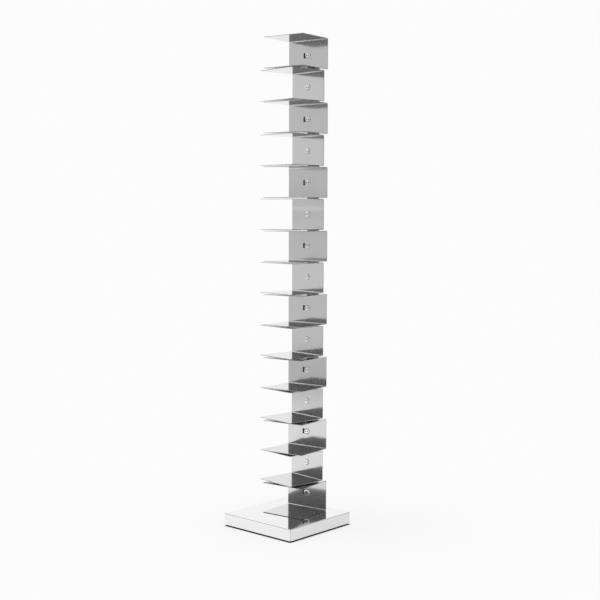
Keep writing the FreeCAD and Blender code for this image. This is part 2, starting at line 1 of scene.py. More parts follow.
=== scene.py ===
# %% [markdown]
# # Dressing a spine bookshelf
# The real shelf is a stack of fifteen bent steel trays, bolted one above the other to a slim post that
# stands in a heavy square base. Books lie flat in the trays and hide the post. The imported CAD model
# already has every piece at its real size. Here each visible piece gets its final surface: fine bends
# and eased edges on the sheet metal, turned bolt heads, moulded plastic and the right steel finishes.

# %% The frame
import math

import bmesh
import bpy
from mathutils import Matrix, Vector


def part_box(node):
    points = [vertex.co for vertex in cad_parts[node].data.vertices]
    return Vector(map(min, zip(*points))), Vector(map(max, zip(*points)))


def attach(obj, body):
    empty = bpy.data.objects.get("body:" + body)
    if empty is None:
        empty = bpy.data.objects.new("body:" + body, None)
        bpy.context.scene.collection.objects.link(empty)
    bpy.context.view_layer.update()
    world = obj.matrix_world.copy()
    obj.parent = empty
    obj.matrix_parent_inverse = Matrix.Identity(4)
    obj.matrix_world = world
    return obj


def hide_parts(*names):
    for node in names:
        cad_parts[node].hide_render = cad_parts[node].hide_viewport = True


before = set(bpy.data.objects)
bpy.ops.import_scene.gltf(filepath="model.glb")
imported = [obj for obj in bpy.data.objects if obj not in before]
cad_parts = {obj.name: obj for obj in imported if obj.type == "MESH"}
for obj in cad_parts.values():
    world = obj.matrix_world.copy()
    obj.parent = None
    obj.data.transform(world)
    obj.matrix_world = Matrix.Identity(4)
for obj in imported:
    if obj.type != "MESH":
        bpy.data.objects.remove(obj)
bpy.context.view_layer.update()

MM = 0.001

# %% [markdown]
# ## The viewpoint
# The shelf is seen from its right front, a little above the middle, with a long lens. The lens is given
# in pixels of a 600-pixel picture and turned into millimetres of Blender's 36 mm sensor. A small shift
# keeps the upright lines nearly parallel, as a view camera does.

# %% Camera
PICTURE_SIDE = 600
FOCAL_PIXELS = 1158
RISE_PIXELS = 10
SENSOR_WIDTH = 36.0
CAMERA_PLACE = Vector((3.0496, -3.3139, 1.2493))
CAMERA_TURN = math.radians(42.024)    # from +Y towards -X
CAMERA_TILT = math.radians(-4.038)
CAMERA_ROLL = math.radians(0.154)

scene = bpy.context.scene
camera_data = bpy.data.cameras.new("viewpoint")
camera_data.sensor_width = SENSOR_WIDTH
camera_data.lens = FOCAL_PIXELS / PICTURE_SIDE * SENSOR_WIDTH
camera_data.shift_y = -RISE_PIXELS / PICTURE_SIDE
camera = bpy.data.objects.new("viewpoint", camera_data)
camera.matrix_world = (Matrix.Translation(CAMERA_PLACE)
                       @ Matrix.Rotation(CAMERA_TURN, 4, "Z")
                       @ Matrix.Rotation(math.pi / 2 + CAMERA_TILT, 4, "X")
                       @ Matrix.Rotation(CAMERA_ROLL, 4, "Z"))
scene.collection.objects.link(camera)
scene.camera = camera
scene.view_settings.view_transform = "Standard"
print("lens", round(camera_data.lens, 2), "mm")

# %% [markdown]
# ## Writing nodes as expressions
# Shader and geometry trees need many Math nodes. Placing and linking each one by hand hides the sum that
# they work out. So a small class wraps a socket and overloads the operators, and `1 - mask * 0.5` adds
# those nodes by itself.

# %% Wire
class Wire:
    """An output socket; an expression on it adds Math nodes to its tree."""

    def __init__(self, tree, socket):
        self.tree = tree
        self.socket = socket

    def out(self, name):
        """Another output of the same node."""
        return Wire(self.tree, self.socket.node.outputs[name])

    def __add__(self, other):
        return self.tree.math("ADD", self, other)

    def __sub__(self, other):
        return self.tree.math("SUBTRACT", self, other)

    def __mul__(self, other):
        return self.tree.math("MULTIPLY", self, other)

    def __truediv__(self, other):
        return self.tree.math("DIVIDE", self, other)

    def __rsub__(self, other):
        return self.tree.math("SUBTRACT", other, self)

    def __neg__(self):
        return self.tree.math("MULTIPLY", self, -1.0)

    __radd__ = __add__
    __rmul__ = __mul__


print("a wire takes + - * / and a minus sign")

# %% [markdown]
# ## One method for every node
# A tree of a material, a world or a modifier is built the same way. One method takes the node's type,
# its settings and what goes into its sockets, a value or a wire. The sums that come back often, such as
# a soft border or a mix of two numbers, have a short method of their own.

# %% Tree
class Tree:
    """The nodes of one material, world or modifier."""

    def __init__(self, data):
        self.data = data
        data.nodes.clear()

    def node(self, kind, settings=None, sockets=None, out=0):
        made = self.data.nodes.new(kind)
        for name, value in (settings or {}).items():
            setattr(made, name, value)
        for key, value in (sockets or {}).items():
            for item in value if isinstance(value, list) else [value]:
                if isinstance(item, Wire):
                    self.data.links.new(item.socket, made.inputs[key])
                else:
                    made.inputs[key].default_value = item
        return Wire(self, made.outputs[out]) if made.outputs else None

    def math(self, operation, *values):
        return self.node("ShaderNodeMath", {"operation": operation}, dict(enumerate(values)))

    def dot(self, value, axis):
        """How far a vector reaches along an axis."""
        return self.node("ShaderNodeVectorMath", {"operation": "DOT_PRODUCT"}, {0: value, 1: axis},
                         out="Value")

    def border(self, value, start, end):
        """0 before the start, 1 after the end, an S-curve between."""
        return self.node("ShaderNodeMapRange", {"interpolation_type": "SMOOTHSTEP"},
                         {"Value": value, "From Min": start, "From Max": end})

    def blend(self, factor, first, second):
        """A colour between two colours."""
        return self.node("ShaderNodeMix", {"data_type": "RGBA"},
                         {0: factor, 6: first, 7: second}, out=2)

    def between(self, factor, first, second):
        """A number between two numbers."""
        return first + (second - first) * factor


def grey(level):
    return (level, level, level, 1.0)


def new_material(name):
    """An empty material, and the tree that fills it."""
    material = bpy.data.materials.new(name)
    material.use_nodes = True
    return material, Tree(material.node_tree)


print("a tree takes any node")

# %% [markdown]
# ## A pale studio
# Polished steel shows its surroundings more than itself, so the room matters as much as the material.
# The camera sees plain white. Glossy rays see a studio: a white wall behind the shelf, a grey side at
# its left, a dark flag at its right, and a soft box overhead. Between the sides and the box the room is
# light at the left and grey at the right. Flags are the black panels that give polished metal its dark,
# crisp zones. Such a room could be built of lit panels, but drawn in the world, by the direction of a
# ray, it needs no mesh, and each border can be soft. Matt surfaces get an even light, at which a colour
# renders about as it is written.

# %% Tones and borders of the studio
WHITE_WALL = 0.975
EVEN_LIGHT = 0.90
LEFT_SIDE = 0.595
LEFT_GAIN = 0.15                 # the left side is lighter towards the wall
RIGHT_FLAG = 0.12
ROOM_LEFT = 0.92
ROOM_RIGHT = 0.38
OVERHEAD_BOX = 1.0

AHEAD = (-math.sin(CAMERA_TURN), math.cos(CAMERA_TURN), 0.0)     # from the lens to the wall
ASIDE = (math.cos(CAMERA_TURN), math.sin(CAMERA_TURN), 0.0)      # from left to right
WALL_BORDER = (0.28, 0.62)       # shares of a unit vector along AHEAD
GAIN_BORDER = (-0.7, 0.2)
FLAG_BORDER = (-0.2, 0.4)        # along ASIDE
ROOM_BORDER = (-0.3, 0.3)
SIDES_TOP = (20, 34)             # degrees above the horizon
BOX_EDGE = (46, 62)
print("studio from", RIGHT_FLAG, "to", OVERHEAD_BOX)


# %% World
def heights(degrees):
    """The heights of unit vectors that point this many degrees above the horizon."""
    return [math.sin(math.radians(angle)) for angle in degrees]


world = bpy.data.worlds.new("studio")
world.use_nodes = True
scene.world = world
sky = Tree(world.node_tree)
direction = sky.node("ShaderNodeTexCoord", out="Generated")
ahead = sky.dot(direction, AHEAD)
aside = sky.dot(direction, ASIDE)
height = sky.node("ShaderNodeSeparateXYZ", sockets={0: direction}, out="Z")
left_side = LEFT_SIDE + LEFT_GAIN * sky.border(ahead, *GAIN_BORDER)
sides = sky.between(sky.border(aside, *FLAG_BORDER), left_side, RIGHT_FLAG)
room = sky.between(sky.border(aside, *ROOM_BORDER), ROOM_LEFT, ROOM_RIGHT)
under_box = sky.between(sky.border(height, *heights(SIDES_TOP)), sides, room)
front = sky.between(sky.border(height, *heights(BOX_EDGE)), under_box, OVERHEAD_BOX)
studio = sky.between(sky.border(ahead, *WALL_BORDER), front, WHITE_WALL)
camera_ray = sky.node("ShaderNodeLightPath", out="Is Camera Ray")
lit = sky.between(camera_ray.out("Is Glossy Ray"), EVEN_LIGHT, studio)
lit = sky.between(camera_ray.out("Is Transmission Ray"), lit, studio)
lit = sky.between(camera_ray, lit, WHITE_WALL)
background = sky.node("ShaderNodeBackground", sockets={"Color": grey(1.0), "Strength": lit})
sky.node("ShaderNodeOutputWorld", sockets={"Surface": background})
print("world of", len(world.node_tree.nodes), "nodes")

# %% [markdown]
# ## The floor
# A plain pale disc carries the shelf and keeps its soft contact shadow. Further out it turns into the
# white of the wall, so no horizon shows. Under the base, and fading out just past its rim, its colour is
# painted nearly black: a painted shadow, because hardly any light gets in there, and the even glow would
# fill the thin gap. In reflections its light falls off with the distance, as on a floor that is lit at
# one spot. Only behind the shelf it stays as white as the wall, and at the right it has one even grey.
# More lamps could do this too, but they would light the shelf as well. A few soft borders in the
# material change only the floor.

# %% Tones and borders of the floor
FLOOR_TONE = 0.955
FLOOR_ROUGHNESS = 0.9
FLOOR_GLOW = 0.72                # share of its own light near the shelf, which softens the shadow
# Painted shadow: the floor's colour under the base, nearly black
PAINTED_SHADOW_UNDER_BASE = 0.02
FLOOR_DIM = 0.54                 # in reflections, some metres away
FLOOR_FAR = 0.69                 # and beyond
FLOOR_RIGHT = 0.78

BASE_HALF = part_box("base_cover")[1].x
PAINTED_SHADOW_EDGE = (BASE_HALF - 1 * MM, BASE_HALF + 3 * MM)
GLOW_EDGE = (BASE_HALF, BASE_HALF + 12 * MM)
WHITE_BORDER = (0.4, 1.3)        # metres from the middle
DIM_BORDER = (1.7, 3.9)
FAR_BORDER = (4.6, 6.5)
RIGHT_BORDER = (-0.1, 0.5)       # shares along ASIDE
BEHIND_BORDER = (0.25, 0.6)      # shares along AHEAD
print("the base ends", round(BASE_HALF, 3), "m from the middle")

# %% The floor's own light
floor_material, ground = new_material("studio_floor")
floor_material.cycles.emission_sampling = "NONE"
spot = ground.node("ShaderNodeTexCoord", out="Object")
reach = ground.node("ShaderNodeVectorMath", {"operation": "LENGTH"}, {0: spot}, out="Value")
is_behind = ground.border(ground.dot(spot, AHEAD) / reach, *BEHIND_BORDER)
is_right = ground.border(ground.dot(spot, ASIDE) / reach, *RIGHT_BORDER)
falling = ground.between(ground.border(reach, *DIM_BORDER), WHITE_WALL, FLOOR_DIM)
falling = ground.between(ground.border(reach, *FAR_BORDER), falling, FLOOR_FAR)
falling = ground.between(is_right, falling, FLOOR_RIGHT)
mirrored = ground.between(is_behind, falling, WHITE_WALL)
glossy_ray = ground.node("ShaderNodeLightPath", out="Is Glossy Ray")
glow = ground.between(glossy_ray, WHITE_WALL, mirrored)
bright = ground.node("ShaderNodeEmission", sockets={"Color": glow, "Strength": 1.0})
print("in reflections the floor goes from", WHITE_WALL, "to", FLOOR_DIM)

# %% The matt floor round the base
across = ground.node("ShaderNodeSeparateXYZ", sockets={0: spot})
beside = ground.math("MAXIMUM", ground.math("ABSOLUTE", across),
                     ground.math("ABSOLUTE", across.out("Y")))
# The floor's colour turns nearly black under the base and just past its rim: a painted shadow
outside = ground.border(beside, *PAINTED_SHADOW_EDGE)
matt = ground.node("ShaderNodeBsdfPrincipled", sockets={
    "Base Color": ground.blend(outside, grey(PAINTED_SHADOW_UNDER_BASE), grey(FLOOR_TONE)),
    "Roughness": FLOOR_ROUGHNESS, "Specular IOR Level": 0.0})
near_glow = FLOOR_GLOW * ground.border(beside, *GLOW_EDGE)
share = ground.between(ground.border(reach, *WHITE_BORDER), near_glow, 1.0)
floor_surface = ground.node("ShaderNodeMixShader", sockets={0: share, 1: matt, 2: bright})
ground.node("ShaderNodeOutputMaterial", sockets={"Surface": floor_surface})
print("floor of", len(floor_material.node_tree.nodes), "nodes")

# %% Floor
FLOOR_RADIUS = 9.0
FLOOR_CORNERS = 128
FLOOR_DROP = 0.2 * MM            # keeps it clear of the feet's soles

disc = bmesh.new()
bmesh.ops.create_circle(disc, cap_ends=True, segments=FLOOR_CORNERS, radius=FLOOR_RADIUS)
bmesh.ops.translate(disc, vec=(0, 0, -FLOOR_DROP), verts=disc.verts)
floor_mesh = bpy.data.meshes.new("studio_floor")
disc.to_mesh(floor_mesh)
disc.free()
floor_mesh.materials.append(floor_material)
floor = bpy.data.objects.new("studio_floor", floor_mesh)
scene.collection.objects.link(floor)
print("floor radius", FLOOR_RADIUS, "m")

# %% [markdown]
# ## The level flag
# A shelf and its back plate are square to each other, so a ray from the lens that meets both turns back
# and comes down or up to the lens's own height again. A black flag that lies level at that height, some
# way off to the left, is therefore seen only where two faces mirror each other. It makes those zones
# dark, and leaves every single reflection light, which no panel that stands upright could do. Nothing
# but a glossy ray can see it.

# %% Flag cloth
# Painted light: the flag's upper side glows lighter than its under side, as if it caught some light
FLAG_UPPER = 0.17                # its upper side catches some light
FLAG_UNDER = 0.075

flag_material, dark = new_material("black_flag")
flag_material.cycles.emission_sampling = "NONE"
is_under = dark.node("ShaderNodeNewGeometry", out="Backfacing")
cloth = dark.node("ShaderNodeEmission", sockets={
    "Color": dark.between(is_under, FLAG_UPPER, FLAG_UNDER), "Strength": 1.0})
dark.node("ShaderNodeOutputMaterial", sockets={"Surface": cloth})
print("flag tones", FLAG_UPPER, "above and", FLAG_UNDER, "below")

# %% Flag
FLAG_START = 2.4                 # metres from the post
FLAG_END = 40.0
FLAG_SPREAD = (math.radians(-88), math.radians(2))   # from -Y towards +X


def on_ring(distance, angle):
    return Vector((distance * math.sin(angle), -distance * math.cos(angle), CAMERA_PLACE.z))


flag_corners = [on_ring(FLAG_START, FLAG_SPREAD[0]), on_ring(FLAG_END, FLAG_SPREAD[0]),
                on_ring(FLAG_END, FLAG_SPREAD[1]), on_ring(FLAG_START, FLAG_SPREAD[1])]
flag_mesh = bpy.data.meshes.new("level_flag")
flag_mesh.from_pydata(flag_corners, [], [(0, 1, 2, 3)])
flag_mesh.materials.append(flag_material)
flag = bpy.data.objects.new("level_flag", flag_mesh)
flag.visible_camera = False
flag.visible_diffuse = False
flag.visible_transmission = False
flag.visible_shadow = False
scene.collection.objects.link(flag)
print("flag at", round(CAMERA_PLACE.z, 3), "m")

# %% [markdown]
# ## The soft box
# One wide soft box hangs high on the left. It only shapes the matt pieces and the contact shadow. A
# small lamp would draw a hard shadow on the floor, and glossy rays don't see this one, because they have
# the studio.

# %% Lamp
LAMP_SIDE = 2.4
LAMP_POWER = 20.0
LAMP_PLACE = Vector((-1.6, -1.4, 3.4))
LAMP_AIM = Vector((0, 0, 0.6))

lamp_data = bpy.data.lights.new("soft_box", "AREA")
lamp_data.shape = "SQUARE"
lamp_data.size = LAMP_SIDE
lamp_data.energy = LAMP_POWER
lamp = bpy.data.objects.new("soft_box", lamp_data)
lamp.location = LAMP_PLACE
lamp.rotation_euler = (LAMP_AIM - LAMP_PLACE).to_track_quat("-Z", "Y").to_euler()
lamp.visible_glossy = False
scene.collection.objects.link(lamp)
print("lamp at", tuple(LAMP_PLACE))

# %% [markdown]
# ## The grain of the steel
# Stainless sheet is sold with a fine grain that runs along the coil. It could be a picture that is laid
# on each piece, but then every piece needs its own unfolding. A noise in the piece's own space needs
# none. The grain is much longer than it is wide, so the noise is stretched: the Mapping node, in its
# Texture mode, divides each coordinate by the size of one streak.

# %% Grain
NOISE_ROUGHNESS = 0.55


def streaks(tree, size, turn=0.0, centre=(0, 0, 0), detail=2.0):
    """Noise from 0 to 1 whose grains have the given size along x, y and z."""
    place = tree.node("ShaderNodeTexCoord", out="Object")
    laid = tree.node("ShaderNodeMapping", {"vector_type": "TEXTURE"}, {
        "Vector": place, "Location": centre, "Rotation": (0, 0, turn), "Scale": size})
    return tree.node("ShaderNodeTexNoise", sockets={
        "Vector": laid, "Scale": 1.0, "Detail": detail, "Roughness": NOISE_ROUGHNESS})


def swing(noise, size):
    """Noise from 0 to 1 as a swing of this size, half above zero and half below."""
    return (noise - 0.5) * size


print("grain ready")

# %% [markdown]
# ## Bare steel
# The grain drives roughness, a breath of tone and a fine bump, and a wide cloud varies the roughness
# once more, because no polish is even. A polished sheet also has a haze: most of its gloss is sharp, and
# a small share is spread wide. One roughness can't be both, so a blurred steel is mixed in.

# %% Steel
LEAN = math.radians(6.5)         # each tray's turn about the upright, to the right or to the left
WEDGE_THICKNESS = 16 * MM
TRAY_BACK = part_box("spine_post")[0].y - WEDGE_THICKNESS
FINE_DETAIL = 3.0
CLOUD_SIZE = 50 * MM
CLOUD_SHARE = 0.6
DARKER_GRAIN = 0.96
LIGHTER_GRAIN = 1.04
GRAIN_DEPTH = 0.02 * MM
HAZE_ROUGHNESS = 0.42


def steel(name, tone, roughness, grain, turn=0.0, bump=0.1, spread=0.08, haze=0.0):
    """Bare steel: grain gives the streak's size along x, y and z, haze a share of blurred gloss."""
    material, tree = new_material(name)
    fine = streaks(tree, grain, turn, (0, TRAY_BACK, 0), FINE_DETAIL)
    cloud = streaks(tree, (CLOUD_SIZE,) * 3, turn)
    shade = tree.blend(fine, grey(tone * DARKER_GRAIN), grey(min(tone * LIGHTER_GRAIN, 1.0)))
    rough = roughness + swing(fine, spread) + swing(cloud, spread) * CLOUD_SHARE
    relief = tree.node("ShaderNodeBump", sockets={
        "Strength": bump, "Distance": GRAIN_DEPTH, "Height": fine})
    surface = tree.node("ShaderNodeBsdfPrincipled", sockets={
        "Base Color": shade, "Metallic": 1.0, "Roughness": rough, "Normal": relief})
    if haze:
        veil = tree.node("ShaderNodeBsdfPrincipled", sockets={
            "Base Color": shade, "Metallic": 1.0, "Roughness": HAZE_ROUGHNESS, "Normal": relief})
        surface = tree.node("ShaderNodeMixShader", sockets={0: haze, 1: surface, 2: veil})
    tree.node("ShaderNodeOutputMaterial", sockets={"Surface": surface})
    return material


print("the trays' backs lie at", round(TRAY_BACK, 4), "m")

# %% [markdown]
# ## The steels of this shelf
# The trays' grain turns with them, so those turned right and those turned left have a steel each. A
# sheared edge is duller than the sheet. The lowest tray lies on the base, so its edges get a near-black
# tone: painted shade. The base is polished to a mirror, where grain has turned into a faint cloud. The
# bolts are turned and polished, and the post is satin along its length. One function makes all seven,
# because they differ only in their numbers.

# %% Trays and their edges
COIL_GRAIN = (0.6 * MM, 60 * MM, 60 * MM)
EDGE_GRAIN = (0.3 * MM, 0.3 * MM, 3 * MM)

tray_steel = {}
for side, name in ((1, "right"), (-1, "left")):
    tray_steel[side] = steel(f"tray_steel_{name}", tone=0.73, roughness=0.11, grain=COIL_GRAIN,
                             turn=side * LEAN, bump=0.18, haze=0.12)
cut_steel = steel("cut_edge_steel", tone=0.52, roughness=0.18, grain=EDGE_GRAIN, spread=0.12)
# Painted shade: the lowest tray's cut edges get this near-black tone where it lies on the base
shade_painted_cut_steel = steel("shade_painted_cut_edge_steel", tone=0.10, roughness=0.22, grain=EDGE_GRAIN,
                         spread=0.12)
print("sheet:", tray_steel[1].name, tray_steel[-1].name, cut_steel.name, shade_painted_cut_steel.name)

# %% Base, bolts and post
POLISH_CLOUD = (9 * MM,) * 3
TURNED_GRAIN = (0.3 * MM,) * 3
UPRIGHT_GRAIN = (0.4 * MM, 0.4 * MM, 60 * MM)

mirror_steel = steel("mirror_steel", tone=0.90, roughness=0.05, grain=POLISH_CLOUD, bump=0.0,
                     spread=0.04, haze=0.07)
bolt_steel = steel("bolt_steel", tone=0.88, roughness=0.12, grain=TURNED_GRAIN, bump=0.05)
satin_steel = steel("satin_steel", tone=0.55, roughness=0.36, grain=UPRIGHT_GRAIN)
print("others:", mirror_steel.name, bolt_steel.name, satin_steel.name)

# %% [markdown]
# ## Zinc
# Screws, nuts and washers that nobody sees are zinc plated. Zinc sets in small crystals, each with a
# slightly other grey. Voronoi cells are such patches: one value of a cell's random colour picks its tone
# and its roughness.

# %% Zinc
CRYSTALS_PER_METRE = 900.0
ZINC_DARK = (0.50, 0.51, 0.53, 1)
ZINC_LIGHT = (0.62, 0.63, 0.65, 1)
ZINC_ROUGHNESS = 0.30
ZINC_SPREAD = 0.12

zinc_steel, plating = new_material("zinc_steel")
crystals = plating.node("ShaderNodeTexVoronoi", sockets={
    "Vector": plating.node("ShaderNodeTexCoord", out="Object"), "Scale": CRYSTALS_PER_METRE}, out="Color")
patch = plating.node("ShaderNodeSeparateXYZ", sockets={0: crystals}, out="X")
zinc_surface = plating.node("ShaderNodeBsdfPrincipled", sockets={
    "Base Color": plating.blend(patch, ZINC_DARK, ZINC_LIGHT),
    "Metallic": 1.0, "Roughness": ZINC_ROUGHNESS + patch * ZINC_SPREAD})
plating.node("ShaderNodeOutputMaterial", sockets={"Surface": zinc_surface})
print("plating:", zinc_steel.name)

# %% [markdown]
# ## Plastic, rubber and paint
# The wedge blocks and the cap are moulded in black plastic, the feet are rubber, and the plates in the
# base are painted. All three are a dark tone with fine pebbles, only of another size and depth. So one
# function makes them, as it does the steels, and a wide cloud keeps the tone from being quite even.

# %% Plastic, rubber and paint
COATING_CLOUD = 12 * MM
DARKER_CLOUD = 0.85
LIGHTER_CLOUD = 1.2
PEBBLE_SPREAD = 0.15


def coated(name, tone, roughness, pebble, bump, depth):
    """Plastic, rubber or paint with a fine pebbled surface."""
    material, tree = new_material(name)
    pebbles = streaks(tree, (pebble,) * 3)
    cloud = streaks(tree, (COATING_CLOUD,) * 3)
    relief = tree.node("ShaderNodeBump", sockets={
        "Strength": bump, "Distance": depth, "Height": pebbles})
    surface = tree.node("ShaderNodeBsdfPrincipled", sockets={
        "Base Color": tree.blend(cloud, grey(tone * DARKER_CLOUD), grey(tone * LIGHTER_CLOUD)),
        "Roughness": roughness + swing(pebbles, PEBBLE_SPREAD), "Normal": relief})
    tree.node("ShaderNodeOutputMaterial", sockets={"Surface": surface})
    return material


# The plates are painted black for real; the same black also lines the bolts' pin holes as painted shade
black_paint_and_hole_shade = coated("blackened_steel", tone=0.02, roughness=0.6, pebble=0.8 * MM, bump=0.25,
                     depth=0.05 * MM)
black_plastic = coated("black_plastic", tone=0.022, roughness=0.42, pebble=0.35 * MM, bump=0.3,
                       depth=0.03 * MM)
foot_rubber = coated("foot_rubber", tone=0.03, roughness=0.75, pebble=0.5 * MM, bump=0.3,
                     depth=0.04 * MM)
print("coatings:", black_paint_and_hole_shade.name, black_plastic.name, foot_rubber.name)

# %% [markdown]
# ## Running a geometry tree
# A shape that follows a rule is a tree of Geometry Nodes here, built in code with named inputs. A mesh
# could be written out point by point, but then a change of one size means new sums. The tree runs as a
# modifier on an empty mesh, the inputs are set by their sockets' identifiers, and the evaluated result
# becomes a plain mesh without modifiers.


# %% Starting and ending a tree
def geometry_tree(name, inputs):
    """A new geometry tree; returns it with one wire for each named input."""
    group = bpy.data.node_groups.new(name, "GeometryNodeTree")
    tree = Tree(group)
    for label, kind in inputs.items():
        group.interface.new_socket(label, in_out="INPUT", socket_type=f"NodeSocket{kind}")
    group.interface.new_socket("Geometry", in_out="OUTPUT", socket_type="NodeSocketGeometry")
    first = tree.node("NodeGroupInput")
    return tree, {label: first.out(label) for label in inputs}


def finished(tree, geometry, accent, main):
    """Ends a tree: real meshes, and the main finish on all faces that haven't the accent yet."""
    real = tree.node("GeometryNodeRealizeInstances", sockets={"Geometry": geometry})
    has_accent = tree.node("GeometryNodeMaterialSelection", sockets={"Material": accent})
    dressed = tree.node("GeometryNodeSetMaterial", sockets={
        "Geometry": real, "Selection": 1 - has_accent, "Material": main})
    tree.node("NodeGroupOutput", sockets={"Geometry": dressed})


def tree_object(name, tree, values):
    """An object whose only modifier runs the tree with these values."""
    holder = bpy.data.objects.new(name, bpy.data.meshes.new(name))
    scene.collection.objects.link(holder)
    modifier = holder.modifiers.new("shape", "NODES")
    modifier.node_group = tree.data
    for item in tree.data.interface.items_tree:
        if item.in_out == "INPUT":
            modifier[item.identifier] = values[item.name]
    return holder


print("trees can be started, ended and run")


# %% Places and turns in a tree
def vector(tree, x=0.0, y=0.0, z=0.0):
    return tree.node("ShaderNodeCombineXYZ", sockets={0: x, 1: y, 2: z})


def parts(tree, kind):
    """The x, y and z of a field, such as the position."""
    return tree.node("ShaderNodeSeparateXYZ", sockets={0: tree.node(kind)})


def turned(tree, x=0.0, y=0.0, z=0.0):
    return tree.node("FunctionNodeEulerToRotation", sockets={0: vector(tree, x, y, z)})


def moved(tree, geometry, place, rotation=None):
    sockets = {"Geometry": geometry, "Translation": place}
    if rotation is not None:
        sockets["Rotation"] = rotation
    return tree.node("GeometryNodeTransform", sockets=sockets)


def cut(tree, geometry, cutters):
    """The geometry with the cutters taken out of it."""
    return tree.node("GeometryNodeMeshBoolean", {"operation": "DIFFERENCE", "solver": "EXACT"}, {
        "Mesh 1": geometry, "Mesh 2": cutters})


print("shapes can be placed, turned and cut")

# %% [markdown]
# ## The trays
# A tray is one strip of sheet, bent up at the back of its lower shelf and forward again at its head.
# A curve follows the middle of the sheet, a flat rectangle is swept along it, and the bolt hole and
# the key window are cut out. The two bends come from one Fillet Curve node, so a change of height,
# depth or bend radius stays a change of one input. All fifteen trays run the same tree.

# %% Tray inputs
tray_tree, tray = geometry_tree("bent_tray", {
    "Width": "Float", "Depth": "Float", "Height": "Float", "Gauge": "Float", "Bend": "Float",
    "Bend Steps": "Int", "Hole": "Float", "Window Width": "Float", "Window Height": "Float",
    "Window Offset": "Float", "Has Window": "Bool", "Turn": "Float", "Setback": "Float",
    "Level": "Float", "Steel": "Material", "Cut Edge": "Material"})
print("a tray has", len(tray), "inputs")

# %% Bent sheet
POINT_COUNT = 4                          # lower front, lower back, upper back, upper front
ROW_MIDDLE = (POINT_COUNT - 1) / 2       # because the points count from 0

half_gauge = tray["Gauge"] / 2
row = tray_tree.node("GeometryNodeMeshLine", sockets={"Count": POINT_COUNT})
number = tray_tree.node("GeometryNodeInputIndex")
is_front = tray_tree.math("GREATER_THAN", tray_tree.math("ABSOLUTE", number - ROW_MIDDLE), 1.0)
is_upper = tray_tree.math("GREATER_THAN", number, ROW_MIDDLE)
corners = vector(tray_tree,
                 y=-half_gauge - (tray["Depth"] - half_gauge) * is_front,
                 z=half_gauge + (tray["Height"] - tray["Gauge"]) * is_upper)
path_points = tray_tree.node("GeometryNodeSetPosition", sockets={"Geometry": row, "Position": corners})
path = tray_tree.node("GeometryNodeMeshToCurve", sockets={"Mesh": path_points})
bent_path = tray_tree.node("GeometryNodeFilletCurve", {"mode": "POLY"}, {
    "Curve": path, "Count": tray["Bend Steps"], "Radius": tray["Bend"] - half_gauge})
held_path = tray_tree.node("GeometryNodeSetCurveNormal", {"mode": "FREE"}, {
    "Curve": bent_path, "Normal": (1.0, 0.0, 0.0)})
section = tray_tree.node("GeometryNodeCurvePrimitiveQuadrilateral", sockets={
    "Width": tray["Width"], "Height": tray["Gauge"]})
sheet = tray_tree.node("GeometryNodeCurveToMesh", sockets={
    "Curve": held_path, "Profile Curve": section, "Fill Caps": True})
print("sheet bent at", POINT_COUNT - 2, "corners")

# %% Bolt hole and key window
CUTTER_DEPTH = 8 * MM                    # through the sheet with room on both sides
ROUND_STEPS = 48
LYING = (math.pi / 2, 0.0, 0.0)          # turns a cylinder's axis from z to y

middle = tray["Height"] / 2
drill = tray_tree.node("GeometryNodeMeshCylinder", sockets={
    "Vertices": ROUND_STEPS, "Radius": tray["Hole"] / 2, "Depth": CUTTER_DEPTH})
drill = moved(tray_tree, drill, vector(tray_tree, z=middle), turned(tray_tree, *LYING))
punch = tray_tree.node("GeometryNodeMeshCube", sockets={
    "Size": vector(tray_tree, tray["Window Width"], CUTTER_DEPTH, tray["Window Height"])})
punch = moved(tray_tree, punch, vector(tray_tree, x=-tray["Window Offset"], z=middle))
punch = tray_tree.node("GeometryNodeSwitch", {"input_type": "GEOMETRY"}, {
    "Switch": tray["Has Window"], "True": punch})
drilled = cut(tray_tree, sheet, [drill, punch])
print("cutters", round(CUTTER_DEPTH / MM), "mm deep")

# %% [markdown]
# ### Edges of a tray
# The faces at the front and at the sides are where the sheet was cut. They get the duller finish. The
# corners of the shelves are rounded by a bevel later, which reads its width from a weight on each edge.
# Only an edge between a front and a side face gets that weight.

# %% Cut edges and place of a tray
EDGE_SLACK = 0.1 * MM                    # a face this near the outline is a cut one

where = parts(tray_tree, "GeometryNodeInputPosition")
at_front = tray_tree.math("LESS_THAN", where.out("Y"), EDGE_SLACK - tray["Depth"])
at_side = tray_tree.math("GREATER_THAN", tray_tree.math("ABSOLUTE", where),
                         tray["Width"] / 2 - EDGE_SLACK)
cornered = tray_tree.node("GeometryNodeStoreNamedAttribute", {"data_type": "FLOAT", "domain": "EDGE"}, {
    "Geometry": drilled, "Name": "bevel_weight_edge", "Value": at_front * at_side})
edged = tray_tree.node("GeometryNodeSetMaterial", sockets={
    "Geometry": cornered, "Selection": tray_tree.math("MAXIMUM", at_front, at_side),
    "Material": tray["Cut Edge"]})
smooth_sheet = tray_tree.node("GeometryNodeSetShadeSmooth", sockets={"Geometry": edged})
stood = moved(tray_tree, smooth_sheet, vector(tray_tree, y=tray["Setback"], z=tray["Level"]),
              turned(tray_tree, z=tray["Turn"]))
finished(tray_tree, stood, tray["Cut Edge"], tray["Steel"])
print("tray tree of", len(tray_tree.data.nodes), "nodes")

# %% [markdown]
# ### Easing an edge
# No edge of finished sheet metal is a knife edge. It is eased a little, and the thin light line along it
# shows where the sheet ends. A Bevel modifier rounds the edges. Weighted normals then keep the big flat
# faces flat in reflections where they meet the small ones. Both could be part of the tree, but as
# modifiers they serve the other pieces too.

# %% Modifiers
EDGE_ANGLE = math.radians(40)            # faces that meet at less are one smooth surface


